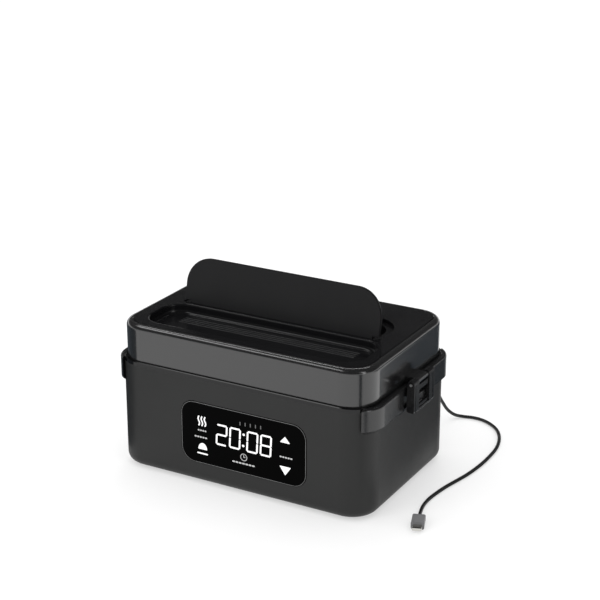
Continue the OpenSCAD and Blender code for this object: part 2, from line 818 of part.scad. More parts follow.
module food_container() {
    bead_r = rim_out / 2;
    color([0.8, 0.81, 0.83]) {
        frame_sweep(food_ax, food_ay) {
            difference() {
                cup_section(container_r, shoulder_z, band_z, food_z, container_edge_r,
                    band_step);
                cup_section(container_r - sheet_t, shoulder_z + 1, band_z,
                    food_z + sheet_t, container_edge_r - sheet_t, band_step);
            }
            // Shoulder, neck and rolled rim
            translate([container_r - sheet_t, shoulder_z])
                square([shoulder_w + sheet_t, sheet_t]);
            translate([neck_r - sheet_t, shoulder_z])
                square([sheet_t, neck_h - bead_r]);
            translate([neck_r - sheet_t + bead_r, neck_top_z - bead_r]) difference() {
                circle(bead_r + 0.4);
                translate([-2 * bead_r, -4 * bead_r]) square([4 * bead_r, 4 * bead_r - 0.6]);
            }
        }
        translate([-food_ax, -food_ay, food_z]) cube([2 * food_ax, 2 * food_ay, sheet_t]);
    }
}

// ---------------------------------------------------------------- inner lid

module inner_lid_plate() {
    color([0.52, 0.53, 0.54]) difference() {
        slab(food_ax, food_ay, seal_r - 1.8, plate_z, plate_z + plate_t);
        translate([0, 0, plate_z - 1]) cylinder(h = plate_t + 2, d = stem_d + 2 * pin_gap);
    }
}

// Silicone edge that grips the plate and closes against the neck
module inner_lid_seal() {
    grip_gap = 0.05;
    color([0.2, 0.2, 0.2]) frame_sweep(food_ax, food_ay) difference() {
        union() {
            translate([seal_r - seal_w, seal_z]) square([seal_w - seal_h / 4, seal_h]);
            translate([seal_r - seal_h / 4, seal_z + seal_h / 4]) circle(seal_h / 4);
            translate([seal_r - seal_h / 4, seal_z + seal_h * 3 / 4]) circle(seal_h / 4);
        }
        translate([0, plate_z - grip_gap])
            square([seal_r - 1.8 + grip_gap, plate_t + 2 * grip_gap]);
    }
}

// Silicone plug: domed cap, stem through the plate and a barb that keeps it captive
module vent_plug() {
    edge_r = 2.4;
    barb_h = 2;
    barb_top = plate_z - plug_lift - seat_gap;
    color([0.85, 0.45, 0.22]) rotate_extrude() {
        difference() {
            union() {
                translate([0, plug_z]) square([plug_d / 2 - edge_r, plug_h]);
                translate([0, plug_z + edge_r])
                    square([plug_d / 2, plug_h - 2 * edge_r]);
                translate([plug_d / 2 - edge_r, plug_z + edge_r]) circle(edge_r);
                translate([plug_d / 2 - edge_r, plug_z + plug_h - edge_r]) circle(edge_r);
                translate([0, barb_top - barb_h]) square([stem_d / 2, plug_z - barb_top + barb_h + 1]);
                translate([0, barb_top - barb_h]) square([stem_d / 2 + 1.6, barb_h]);
            }
            // Mirror side of the section is cut away
            translate([-plug_d, barb_top - barb_h - 1]) square([plug_d, reach]);
            // Shallow dish in the cap's top
            translate([0, plug_z + plug_h + 38]) circle(39);
        }
    }
}

// ---------------------------------------------------------------- lid

module skirt_profile() {
    edge_x = corner_r - lid_edge_r;
    frame_x = corner_r - lid_frame_w;
    top_t = 2.4;
    difference() {
        union() {
            translate([corner_r - wall_t, lid_z]) square([wall_t, lid_h - lid_edge_r]);
            translate([edge_x, lid_top_z - lid_edge_r]) quarter(lid_edge_r, 1, 1);
            translate([frame_x, lid_top_z - top_t]) square([edge_x - frame_x, top_t]);
        }
        // Fine bevels at the foot of the wall and inside the top frame
        translate([corner_r, lid_z]) rotate([0, 0, 45]) square(0.9, center = true);
        translate([frame_x, lid_top_z]) rotate([0, 0, 45]) square(0.9, center = true);
    }
}

// Lug on the end of the lid that carries the latch pin
module latch_lug() {
    w = latch_w - 2 * latch_rib_w - 1;
    root_x = base_w / 2 - lid_inset - 1;
    translate([0, w / 2, 0]) rotate([90, 0, 0]) linear_extrude(w) difference() {
        union() {
            translate([latch_x, latch_z]) circle(lug_r);
            translate([root_x, latch_z - lug_r]) square([latch_x - root_x, 2 * lug_r]);
        }
        translate([latch_x, latch_z]) circle(latch_pin_d / 2 + press_gap);
    }
}

module lid_skirt() {
    color([0.3, 0.3, 0.31]) {
        frame_sweep(lid_ax, lid_ay) skirt_profile();
        latch_lug();
        mirror([1, 0, 0]) latch_lug();
    }
}

// Section of the wall of a well sunk in the top panel: rounded at its upper edge, with
// a fillet at the floor
module tub_profile(r, floor_z, top_z, fillet) {
    top_join = panel_t;
    translate([r, floor_z - tub_t]) square([tub_t, top_z - floor_z + tub_t - top_join]);
    translate([r + recess_edge_r, top_z - recess_edge_r]) quarter(recess_edge_r, -1, 1);
    translate([r, top_z - top_join]) square([tub_t + 1, top_join - recess_edge_r]);
    translate([r + recess_edge_r, top_z - recess_edge_r])
        square([tub_t + 1 - recess_edge_r, recess_edge_r]);
    difference() {
        translate([r - fillet, floor_z - tub_t]) square([fillet, fillet + tub_t]);
        translate([r - fillet, floor_z + fillet]) circle(fillet);
    }
}

tray_ax = tray_len / 2 - tray_r;
tray_ay = tray_w / 2 - tray_r;
tray_floor = lid_top_z - tray_depth;
cutlery_floor = lid_top_z - well_depth;
recess_gap = 0.8;
recess_front_y = hinge_y - flap_t - recess_gap;
recess_back_y = hinge_y + flap_len + recess_gap;
cutlery_back_y = recess_back_y - 5.8;
cutlery_half = barrel_half + 0.5;
cutlery_r = flap_r - 5;

// Outline of the shallow seat of the folded flap; grow widens it all round
module flap_seat_outline(grow) {
    half = flap_w / 2 + recess_gap + grow;
    r = flap_r + recess_gap + grow;
    low_y = recess_front_y - grow;
    high_y = recess_back_y + grow;
    translate([-half, low_y]) square([2 * half, high_y - r - low_y]);
    translate([r - half, low_y]) square([2 * (half - r), high_y - low_y]);
    for (s = [-1, 1]) translate([s * (half - r), high_y - r]) quarter(r, s, 1);
}

// Outline of the deep cutlery well under the flap
module cutlery_outline(grow) {
    half = cutlery_half + grow;
    r = cutlery_r + grow;
    low_y = recess_front_y - grow;
    high_y = cutlery_back_y + grow;
    translate([-half, low_y]) square([2 * half, high_y - r - low_y]);
    translate([r - half, low_y]) square([2 * (half - r), high_y - low_y]);
    for (s = [-1, 1]) translate([s * (half - r), high_y - r]) quarter(r, s, 1);
}

boss_x = 13;
boss_y = 8.5;

module panel_boss_places() {
    four_corners() translate([lid_ax + boss_x, lid_ay + boss_y, 0]) children();
}

ear_mid = barrel_half + 0.8 + ear_len / 2;

// Cut along the flap's axis for its pin
module flap_pin_bore() {
    half = ear_mid + ear_len / 2 + 0.5;
    translate([-half, hinge_y, hinge_z]) rotate([0, 90, 0])
        cylinder(h = 2 * half, d = flap_pin_d + 2 * press_gap, $fn = 32);
}

module lid_top_panel() {
    edge_r = corner_r - lid_frame_w - 0.25;
    under_r = corner_r - lid_edge_r - fit_gap;
    color([0.06, 0.06, 0.065]) {
        difference() {
            union() {
                slab(lid_ax, lid_ay, edge_r, panel_z, lid_top_z);
                // Thicker border that reaches under the skirt's top frame
                frame_sweep(lid_ax, lid_ay) {
                    translate([edge_r - 4, panel_lip_z - 1.8])
                        square([4, lid_top_z - panel_lip_z]);
                    translate([edge_r - 4, panel_lip_z - 1.8])
                        square([under_r - edge_r + 4, 1.8]);
                }
                // Block round the flap's seat and the cutlery well
                translate([0, 0, flap_seat_z - tub_t])
                    linear_extrude(lid_top_z - 0.5 - flap_seat_z + tub_t)
                        flap_seat_outline(tub_t);
                translate([0, 0, cutlery_floor - tub_t])
                    linear_extrude(flap_seat_z - cutlery_floor) cutlery_outline(tub_t);
            }
            // Opening of the phone tray
            translate([0, tray_y, 0])
                slab(tray_ax, tray_ay, tray_r + tub_t + 0.5, tray_floor, lid_top_z + 1);
            translate([0, 0, flap_seat_z]) linear_extrude(reach) flap_seat_outline(0);
            translate([0, 0, cutlery_floor]) linear_extrude(reach) cutlery_outline(0);
            flap_pin_bore();
        }
        // Ears for the flap's hinge pin
        difference() {
            for (s = [-1, 1]) translate([s * ear_mid - ear_len / 2, hinge_y - 2.5,
                flap_seat_z - 0.5]) cube([ear_len, 5, hinge_z - flap_seat_z + 2.8]);
            flap_pin_bore();
        }
        // Phone tray
        translate([0, tray_y, 0]) {
            frame_sweep(tray_ax, tray_ay) tub_profile(tray_r, tray_floor, lid_top_z, 4);
            slab(tray_ax, tray_ay, tray_r - 3.9, tray_floor - tub_t, tray_floor);
            // Fine ridges that keep a phone's lower edge from sliding
            for (i = [0:3]) translate([0, tray_w / 2 - 9 - i * 3.4, tray_floor - 0.5])
                rotate([0, 90, 0]) translate([0, 0, -tray_ax])
                    cylinder(h = 2 * tray_ax, r = 0.9, $fn = 24);
        }
        // Bosses for the liner's screws
        panel_boss_places() difference() {
            translate([0, 0, liner_z + liner_t])
                cylinder(h = panel_lip_z - 0.9 - liner_z - liner_t, r = 3);
            translate([0, 0, liner_z]) cylinder(h = 9, d = 1.9, $fn = 32);
        }
    }
}

module lid_liner() {
    liner_r = corner_r - wall_t - 0.4;
    color([0.5, 0.5, 0.5]) difference() {
        slab(lid_ax, lid_ay, liner_r, liner_z, liner_z + liner_t);
        panel_boss_places() translate([0, 0, liner_z - 1])
            cylinder(h = liner_t + 2, d = 2.4, $fn = 32);
    }
}

// Ring on the liner, with a round bead over the container's rim
module lid_gasket() {
    bead_r = 1.9;
    mid_r = neck_r - sheet_t + rim_out / 2;
    color([0.15, 0.15, 0.15]) frame_sweep(food_ax, food_ay) {
        translate([mid_r, neck_top_z + 0.4 + 0.45 + bead_r]) circle(bead_r);
        translate([mid_r - bead_r, neck_top_z + 0.85 + bead_r])
            square([2 * bead_r, liner_z - neck_top_z - 0.85 - bead_r]);
    }
}

module lid_screws() {
    color([0.6, 0.6, 0.62]) panel_boss_places()
        translate([0, 0, liner_z - 1.4]) screw(1.8, liner_t + 7, 3.8);
}

module flap_hinge_pin() {
    half = ear_mid + ear_len / 2;
    color([0.7, 0.7, 0.72]) translate([-half, hinge_y, hinge_z]) rotate([0, 90, 0])
        cylinder(h = 2 * half, d = flap_pin_d, $fn = 32);
}

module latch_pin() {
    color([0.7, 0.7, 0.72]) translate([latch_x, latch_w / 2, latch_z])
        rotate([90, 0, 0]) cylinder(h = latch_w, d = latch_pin_d, $fn = 32);
}

module latch_pin_right() { latch_pin(); }

module latch_pin_left() { mirror([1, 0, 0]) latch_pin(); }

// ---------------------------------------------------------------- stand flap

// The flap lies flat over the cutlery well, and is turned up about its pin
module stand_flap() {
    half = flap_w / 2;
    barrel_r = flap_t;
    bevel = 0.6;
    color([0.22, 0.22, 0.23])
        translate([0, hinge_y, hinge_z]) rotate([flap_angle, 0, 0]) difference() {
            union() {
                flap_plate(half, 0, flap_t - bevel);
                flap_plate(half - bevel, 0, flap_t);
                translate([-barrel_half, 0, 0]) cube([2 * barrel_half, flap_wide_y + 1, flap_t]);
                rotate([0, 90, 0]) translate([0, 0, -barrel_half])
                    cylinder(h = 2 * barrel_half, r = barrel_r);
            }
            rotate([0, 90, 0]) translate([0, 0, -half])
                cylinder(h = 2 * half, d = flap_pin_d + 2 * pin_gap, $fn = 32);
        }
}

// Plate from the wide part of the flap to its free edge with two rounded corners
module flap_plate(half, z0, z1) {
    trim = flap_w / 2 - half;
    r = flap_r - trim;
    high_y = flap_len - trim;
    translate([0, 0, z0]) linear_extrude(z1 - z0) {
        translate([-half, flap_wide_y]) square([2 * half, high_y - r - flap_wide_y]);
        translate([r - half, flap_wide_y]) square([2 * (half - r), high_y - flap_wide_y]);
        for (s = [-1, 1]) translate([s * (half - r), high_y - r]) quarter(r, s, 1);
    }
}

// ---------------------------------------------------------------- latches

module latch() {
    rib_r = latch_depth / 2;
    low_z = latch_z - latch_len;
    web_top_z = latch_z - lug_r - 0.6;
    window_top_z = hook_z + 5.4;
    rib_mid = (latch_w - latch_rib_w) / 2;
    inner_w = latch_w - 2 * latch_rib_w;
    foot_r = 3.6;
    groove_w = 0.8;
    color([0.16, 0.16, 0.17]) difference() {
        union() {
            // Two side ribs, round at both ends
            for (s = [-1, 1]) translate([0, s * rib_mid + latch_rib_w / 2, 0])
                rotate([90, 0, 0]) linear_extrude(latch_rib_w) {
                    translate([latch_x, latch_z]) circle(rib_r);
                    translate([latch_x, low_z + rib_r]) circle(rib_r);
                    translate([latch_x - rib_r, low_z + rib_r])
                        square([2 * rib_r, latch_len - rib_r]);
                }
            // Web between them, with a finger lip along its foot
            translate([web_x, -latch_w / 2 + latch_rib_w / 2, low_z + 1.6])
                cube([latch_web_t, latch_w - latch_rib_w, web_top_z - low_z - 1.6]);
            translate([web_x + 1.4, latch_w / 2 - latch_rib_w / 2, low_z + 1.8])
                rotate([90, 0, 0]) cylinder(h = latch_w - latch_rib_w, r = 1.4);
        }
        // Window that the hook stands in
        translate([latch_x - rib_r - 1, -inner_w / 2, bar_top_z])
            cube([2 * rib_r + 2, inner_w, window_top_z - bar_top_z]);
        // Fine groove along each outer edge, and round lower corners
        for (s = [-1, 1]) {
            translate([latch_x + rib_r - 0.5, s * (latch_w / 2 - 3) - groove_w / 2, low_z + 2])
                cube([1, groove_w, latch_z - low_z - 2]);
            translate([latch_x - rib_r - 1, s * (latch_w / 2 - foot_r), low_z + foot_r])
                rotate([90, 0, 90]) linear_extrude(2 * rib_r + 2) difference() {
                    translate([s > 0 ? 0 : -foot_r - 1, -foot_r - 1])
                        square(foot_r + 1);
                    circle(foot_r);
                }
        }
        translate([latch_x, reach / 2, latch_z]) rotate([90, 0, 0])
            cylinder(h = reach, d = latch_pin_d + 2 * pin_gap, $fn = 32);
    }
}

module latch_right() { latch(); }

module latch_left() { mirror([1, 0, 0]) latch(); }

// ---------------------------------------------------------------- cable

plug_y = base_d / 2 + 0.6;
grip_len = 24;
relief_len = 10;

module usb_plug_grip() {
    grip_w = 15.6;
    grip_h = 7.8;
    color([0.1, 0.1, 0.1]) translate([usb_x, plug_y + grip_len, port_z]) {
        rotate([90, 0, 0]) linear_extrude(grip_len)
            slab_outline(grip_w / 2 - 2.4, grip_h / 2 - 2.4, 2.4);
        rotate([-90, 0, 0]) difference() {
            cylinder(h = relief_len, d1 = 6, d2 = lead_d + 1.2);
            translate([0, 0, relief_len - 2]) cylinder(h = 3, d = lead_d + 0.2);
        }
    }
}

module usb_plug_shell() {
    len = 11.6;
    color([0.75, 0.75, 0.77]) translate([usb_x, plug_y, port_z]) difference() {
        translate([-6, -len, -2.25]) cube([12, len, 4.5]);
        translate([-5.7, -len - 1, -0.15]) cube([11.4, len, 2.1]);
    }
}

// Route of the cable, from the plug down to the table and round the base's corner
lead_route = [[84, 113, 35.2], [84, 120, 35], [84.5, 127, 32.5], [86, 133, 26.5],
    [88, 138, 18], [91, 143, 9.5], [96, 148, 3.6], [103, 152, 1.7], [112, 154, 1.7],
    [122, 153, 1.7], [132, 148, 1.7], [141, 140, 1.7], [148, 129, 1.7], [153, 116, 1.7],
    [156, 102, 1.7], [157, 87, 1.7], [157, 72, 1.7], [156, 57, 1.7], [154, 42, 1.7],
    [151, 28, 1.7], [148, 14, 1.7], [146, 0, 1.7], [145, -13, 1.7], [146, -26, 1.7],
    [149, -38, 1.7], [153, -49, 1.7]];

function unit(v) = v / norm(v);
function heading(p, i) =
    unit(p[min(i + 1, len(p) - 1)] - p[max(i - 1, 0)]);
function ring_at(p, i, r, sides) =
    let (t = heading(p, i), a = unit(cross(t, [0.05, 0.02, 1])), b = cross(t, a))
    [for (k = [0:sides - 1]) p[i] + r * (cos(360 * k / sides) * a + sin(360 * k / sides) * b)];

// Curve through the route's points, with steps per span
function spline_point(a, b, c, d, t) =
    0.5 * (2 * b + (c - a) * t + (2 * a - 5 * b + 4 * c - d) * t * t
        + (3 * b - a - 3 * c + d) * t * t * t);
function smooth_route(p, steps) = concat(
    [for (i = [0:len(p) - 2], s = [0:steps - 1])
        spline_point(p[max(i - 1, 0)], p[i], p[i + 1], p[min(i + 2, len(p) - 1)], s / steps)],
    [p[len(p) - 1]]);

module tube(p, r, sides) {
    n = len(p);
    polyhedron(
        points = [for (i = [0:n - 1]) each ring_at(p, i, r, sides)],
        faces = concat(
            [[for (k = [0:sides - 1]) k]],
            [for (i = [0:n - 2], k = [0:sides - 1])
                let (k2 = (k + 1) % sides)
                [i * sides + k, (i + 1) * sides + k, (i + 1) * sides + k2, i * sides + k2]],
            [[for (k = [sides - 1:-1:0]) (n - 1) * sides + k]]));
}

module usb_lead() {
    color([0.06, 0.06, 0.06]) tube(smooth_route(lead_route, 2), lead_d / 2, 8);
}

phone_end = lead_route[len(lead_route) - 1];
phone_turn = atan2(phone_end[0] - lead_route[len(lead_route) - 2][0],
    lead_route[len(lead_route) - 2][1] - phone_end[1]);

// The far end lies on the table, in line with the cable
module phone_plug_place() {
    translate(phone_end) rotate([0, 0, phone_turn]) children();
}

module phone_plug_grip() {
    color([0.45, 0.45, 0.47]) phone_plug_place() translate([0, -0.05, 1.6]) {
        rotate([90, 0, 0]) linear_extrude(14) slab_outline(4, 1.8, 1.4);
    }
}

module phone_plug_tip() {
    color([0.75, 0.75, 0.77]) phone_plug_place() translate([0, -14.1, 1.6])
        rotate([90, 0, 0]) linear_extrude(6.6) slab_outline(2.9, 0.01, 1.1);
}

// ---------------------------------------------------------------- selection

base_housing();
deck_frame();
end_collar_right();
end_collar_left();
display_window();
display_module();
display_board();
heating_well();
well_gasket();
well_screws();
heater_plate();
temperature_sensor();
thermal_fuse();
insulation_jacket();
bottom_cover();
cover_screws();
rubber_feet();
battery_tray();
battery_cells();
battery_strips();
main_board();
board_parts();
usb_socket_shell();
usb_socket_tongue();
charge_inlet();
food_container();
inner_lid_plate();
inner_lid_seal();
vent_plug();
lid_skirt();
lid_top_panel();
lid_liner();
lid_gasket();
lid_screws();
flap_hinge_pin();
latch_pin_right();
latch_pin_left();
stand_flap();
latch_right();
latch_left();
usb_plug_grip();
usb_plug_shell();
usb_lead();
phone_plug_grip();
phone_plug_tip();
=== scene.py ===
import bpy
import numpy as np
from bpy.props import FloatProperty, FloatVectorProperty, PointerProperty
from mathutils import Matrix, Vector


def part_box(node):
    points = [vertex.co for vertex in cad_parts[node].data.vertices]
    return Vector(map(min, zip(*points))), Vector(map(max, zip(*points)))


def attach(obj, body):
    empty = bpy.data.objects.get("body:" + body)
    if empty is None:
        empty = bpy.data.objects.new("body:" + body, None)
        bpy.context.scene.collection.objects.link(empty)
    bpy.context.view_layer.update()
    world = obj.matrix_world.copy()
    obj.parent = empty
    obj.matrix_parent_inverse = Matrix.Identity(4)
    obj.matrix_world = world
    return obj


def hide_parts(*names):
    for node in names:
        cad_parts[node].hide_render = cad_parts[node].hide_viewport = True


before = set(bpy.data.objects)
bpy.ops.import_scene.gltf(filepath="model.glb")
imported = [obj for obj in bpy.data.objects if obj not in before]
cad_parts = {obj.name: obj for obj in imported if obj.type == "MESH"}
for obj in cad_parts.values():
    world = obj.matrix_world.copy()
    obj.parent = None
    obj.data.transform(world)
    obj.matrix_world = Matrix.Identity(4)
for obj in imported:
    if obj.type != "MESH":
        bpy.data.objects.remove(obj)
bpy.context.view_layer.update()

bl_info = {
    "name": "Electric Lunch Box",
    "version": (1, 0, 0),
    "blender": (4, 5, 0),
    "location": "View3D > Sidebar > Lunch Box",
    "description": "Finishes, display, cable and studio for an electric lunch box",
    "category": "Object",
}


# ---------------------------------------------------------------- settings

def colour(name, description, value):
    """A colour setting, in linear values."""
    return FloatVectorProperty(
        name=name, description=description, default=value, size=3, min=0.0, max=1.0,
        subtype="COLOR",
    )


def length(name, description, value):
    """A length setting, in metres."""
    return FloatProperty(
        name=name, description=description, default=value, min=0.0, precision=5,
        subtype="DISTANCE", unit="LENGTH",
    )


class LunchBoxColours(bpy.types.PropertyGroup):
    """Colours of the lunch box's finishes"""

    housing: colour("Base", "Moulded sides of the base", (0.014, 0.0142, 0.014))
    lid: colour("Lid", "Moulded sides of the lid", (0.009, 0.009, 0.0093))
    deck: colour("Deck", "Glossy frame round the opening", (0.003, 0.003, 0.0033))
    panel: colour("Top panel", "Glossy top of the lid", (0.005, 0.005, 0.0055))
    trim: colour("Trim", "Collars, latches and flap", (0.007, 0.007, 0.0075))
    steel: colour("Steel", "Polished steel of the container", (0.74, 0.74, 0.745))
    inner_lid: colour("Inner lid", "Satin plate of the inner lid", (0.46, 0.46, 0.455))
    plug: colour("Vent plug", "Silicone of the vent plug", (0.88, 0.40, 0.18))
    glow: colour("Display", "Light of the digits and icons", (1.0, 1.0, 1.0))


class LunchBoxSizes(bpy.types.PropertyGroup):
    """Sizes of the display's marks and of the cable"""

    digit_height: length("Digit height", "Height of a digit between its stroke axes", 0.0176)
    digit_width: length("Digit width", "Width of a digit between its stroke axes", 0.0094)
    stroke: length("Stroke", "Width of a digit's stroke", 0.0016)
    proud: length("Proud", "How far the marks stand out of the window", 0.00003)
    cable: length("Cable", "Diameter of the cable", 0.003)


def colours():
    """The scene's colour settings."""
    return bpy.context.scene.lunch_box_colours


def sizes():
    """The scene's size settings."""
    return bpy.context.scene.lunch_box_sizes


# ---------------------------------------------------------------- materials

# Values that a noise keeps to, apart from rare peaks
NOISE_RANGE = (0.3, 0.7)
BROAD_DETAIL = 3.0
FINE_DETAIL = 2.0
BUMP_STRENGTH = 0.35


def socket(shader, name, value):
    """Sets a value that is the same all over the surface."""
    shader.inputs[name].default_value = value


def map_range(tree, source, start, end):
    """Reads source over the pair start as a value over the pair end."""
    node = tree.nodes.new("ShaderNodeMapRange")
    for name, value in zip(("From Min", "From Max", "To Min", "To Max"), (*start, *end)):
        node.inputs[name].default_value = value
    tree.links.new(source, node.inputs["Value"])
    return node


def finish(
    name, base, rough, vary=0.06, grain=900.0, depth=0.00002, stretch=(1.0, 1.0, 1.0),
    patch=35.0, **more,
):
    """A surface whose colour drifts slowly, whose gloss varies and which has a fine grain.

    Colour is base times (1 - vary .. 1 + vary) by a broad noise of the place, with patch as
    its scale. Roughness runs over the pair rough by the same noise. The grain is a fine noise,
    with grain as its scale, read as a height of depth metres. Both noises are stretched alike.
    """
    material = bpy.data.materials.new(name)
    material.use_nodes = True
    tree = material.node_tree
    shader = tree.nodes["Principled BSDF"]
    place = tree.nodes.new("ShaderNodeTexCoord")
    mapping = tree.nodes.new("ShaderNodeMapping")
    mapping.inputs["Scale"].default_value = stretch
    tree.links.new(place.outputs["Object"], mapping.inputs["Vector"])

    broad = tree.nodes.new("ShaderNodeTexNoise")
    broad.inputs["Scale"].default_value = patch
    broad.inputs["Detail"].default_value = BROAD_DETAIL
    tree.links.new(mapping.outputs["Vector"], broad.inputs["Vector"])
    ramp = tree.nodes.new("ShaderNodeValToRGB")
    stops = ramp.color_ramp.elements
    for stop, where, share in zip(stops, NOISE_RANGE, (1 - vary, 1 + vary)):
        stop.position = where
        stop.color = [min(1.0, c * share) for c in base] + [1.0]
    tree.links.new(broad.outputs["Fac"], ramp.inputs["Fac"])
    tree.links.new(ramp.outputs["Color"], shader.inputs["Base Color"])

    gloss = map_range(tree, broad.outputs["Fac"], NOISE_RANGE, rough)
    tree.links.new(gloss.outputs["Result"], shader.inputs["Roughness"])

    if depth:
        fine = tree.nodes.new("ShaderNodeTexNoise")
        fine.inputs["Scale"].default_value = grain
        fine.inputs["Detail"].default_value = FINE_DETAIL
        tree.links.new(mapping.outputs["Vector"], fine.inputs["Vector"])
        bump = tree.nodes.new("ShaderNodeBump")
        bump.inputs["Strength"].default_value = BUMP_STRENGTH
        bump.inputs["Distance"].default_value = depth
        tree.links.new(fine.outputs["Fac"], bump.inputs["Height"])
        tree.links.new(bump.outputs["Normal"], shader.inputs["Normal"])
    for key, value in more.items():
        socket(shader, key.replace("_", " "), value)
    return material


def metal(name, base, rough, **more):
    """A bare metal, whose colour drifts less."""
    return finish(name, base, rough, vary=0.03, Metallic=1.0, **more)


# Finish of each CAD node, by the name of the finish
NODE_FINISH = {
    "Base plastic": ["base_housing"],
    "Collar plastic": ["end_collar_right", "end_collar_left"],
    "Deck gloss": ["deck_frame"],
    "Window acrylic": ["display_window"],
    "White light box": ["display_module", "usb_socket_tongue"],
    "Circuit board": ["display_board", "main_board"],
    "Non-stick black": ["heating_well"],
    "Heater aluminium": ["heater_plate"],
    "Screw steel": [
        "well_screws", "cover_screws", "lid_screws", "flap_hinge_pin", "latch_pin_right",
        "latch_pin_left",
    ],
    "Brass": ["temperature_sensor"],
    "Fuse ceramic": ["thermal_fuse"],
    "Felt": ["insulation_jacket"],
    "Under plastic": ["bottom_cover", "battery_tray"],
    "Foot rubber": ["rubber_feet"],
    "Cell sleeve": ["battery_cells"],
    "Nickel": [
        "battery_strips", "usb_socket_shell", "charge_inlet", "usb_plug_shell", "phone_plug_tip",
    ],
    "Component black": ["board_parts"],
    "Container steel": ["food_container"],
    "Inner lid satin": ["inner_lid_plate"],
    "Grey silicone": ["lid_gasket", "well_gasket"],
    "Seal silicone": ["inner_lid_seal"],
    "Copper silicone": ["vent_plug"],
    "Lid plastic": ["lid_skirt"],
    "Panel gloss": ["lid_top_panel"],
    "Liner plastic": ["lid_liner"],
    "Flap plastic": ["stand_flap"],
    "Latch plastic": ["latch_right", "latch_left"],
    "Cable black": ["usb_plug_grip", "usb_lead"],
    "Plug grey": ["phone_plug_grip"],
}

# Scale of the fine grain that a mould leaves on plastic
MOULD_GRAIN = 2200


def finishes():
    """Every finish, by name."""
    c = colours()
    trim = tuple(c.trim)
    made = [
        finish("Base plastic", c.housing, (0.42, 0.5), grain=MOULD_GRAIN, depth=0.00003,
               Specular_IOR_Level=0.35),
        finish("Collar plastic", trim, (0.22, 0.28), grain=MOULD_GRAIN, depth=0.00001,
               Specular_IOR_Level=0.8),
        finish("Deck gloss", c.deck, (0.1, 0.14), depth=0, Specular_IOR_Level=0.4),
        finish("Window acrylic", (0.001, 0.001, 0.001), (0.05, 0.07), depth=0,
               Specular_IOR_Level=0.02),
        finish("White light box", (0.75, 0.76, 0.74), (0.4, 0.5)),
        finish("Circuit board", (0.02, 0.12, 0.05), (0.3, 0.4), patch=300),
        finish("Non-stick black", (0.006, 0.006, 0.0065), (0.2, 0.28), grain=1800,
               Specular_IOR_Level=0.3),
        metal("Heater aluminium", (0.5, 0.47, 0.36), (0.35, 0.45)),
        metal("Screw steel", (0.5, 0.5, 0.51), (0.25, 0.35)),
        metal("Brass", (0.7, 0.55, 0.25), (0.3, 0.4)),
        finish("Fuse ceramic", (0.8, 0.8, 0.76), (0.5, 0.6)),
        finish("Felt", (0.72, 0.68, 0.56), (0.9, 0.95), vary=0.12, grain=1500, depth=0.0004,
               patch=200),
        finish("Under plastic", (0.018, 0.018, 0.019), (0.5, 0.58), grain=1500, depth=0.00005),
        finish("Foot rubber", (0.012, 0.012, 0.012), (0.65, 0.75)),
        finish("Cell sleeve", (0.04, 0.22, 0.4), (0.2, 0.3), depth=0),
        metal("Nickel", (0.62, 0.61, 0.58), (0.18, 0.28)),
        finish("Component black", (0.02, 0.02, 0.022), (0.35, 0.45)),
        metal("Container steel", c.steel, (0.05, 0.09), grain=160, depth=0.000003,
              stretch=(0.06, 0.06, 9.0), patch=60),
        finish("Inner lid satin", c.inner_lid, (0.3, 0.38), grain=2500, depth=0.00001),
        finish("Grey silicone", (0.012, 0.012, 0.012), (0.16, 0.24)),
        finish("Seal silicone", (0.10, 0.10, 0.10), (0.12, 0.18),
               Coat_Weight=1.0, Coat_Roughness=0.08, Coat_IOR=2.0),
        finish("Copper silicone", c.plug, (0.34, 0.42), Specular_IOR_Level=0.45),
        finish("Lid plastic", c.lid, (0.2, 0.26), grain=MOULD_GRAIN, depth=0.000008,
               Coat_Weight=1.0, Coat_Roughness=0.14, Coat_IOR=1.5),
        finish("Panel gloss", c.panel, (0.16, 0.22), depth=0, Specular_IOR_Level=0.25),
        finish("Liner plastic", (0.18, 0.18, 0.18), (0.4, 0.5)),
        finish("Flap plastic", trim, (0.3, 0.38), grain=MOULD_GRAIN, Specular_IOR_Level=0.2),
        finish("Latch plastic", trim, (0.2, 0.28), grain=MOULD_GRAIN, Specular_IOR_Level=0.4),
        finish("Cable black", (0.010, 0.010, 0.010), (0.32, 0.4)),
        finish("Plug grey", (0.16, 0.16, 0.165), (0.35, 0.45)),
    ]
    return {material.name: material for material in made}


def glow(name, strength):
    """Light of the display's marks: a plain white light, as bright as strength, over a dark face
    whose tone drifts a little.
    """
    material = finish(name, (0.02, 0.02, 0.02), (0.4, 0.5), depth=0)
    shader = material.node_tree.nodes["Principled BSDF"]
    socket(shader, "Emission Color", tuple(colours().glow) + (1.0,))
    socket(shader, "Emission Strength", strength)
    return material


# ---------------------------------------------------------------- surfaces

def surface(name, points, faces, material, smooth=False):
    """A new piece from an array of points and arrays of faces with as many corners each."""
    mesh = bpy.data.meshes.new(name)
    loops = np.concatenate([np.asarray(f).reshape(-1) for f in faces]).astype(np.int32)
    counts = np.concatenate([np.full(len(f), np.asarray(f).shape[1]) for f in faces])
    starts = np.concatenate([[0], np.cumsum(counts)[:-1]]).astype(np.int32)
    mesh.vertices.add(len(points))
    mesh.vertices.foreach_set("co", np.asarray(points, np.float32).reshape(-1))
    mesh.loops.add(len(loops))
    mesh.loops.foreach_set("vertex_index", loops)
    mesh.polygons.add(len(starts))
    mesh.polygons.foreach_set("loop_start", starts)
    mesh.polygons.foreach_set("use_smooth", np.full(len(starts), smooth))
    mesh.update(calc_edges=True)
    mesh.validate()
    piece = bpy.data.objects.new(name, mesh)
    piece.data.materials.append(material)
    bpy.context.scene.collection.objects.link(piece)
    return piece


# Depth of a mark, most of which is let into the window
MARK_DEPTH = 0.00012


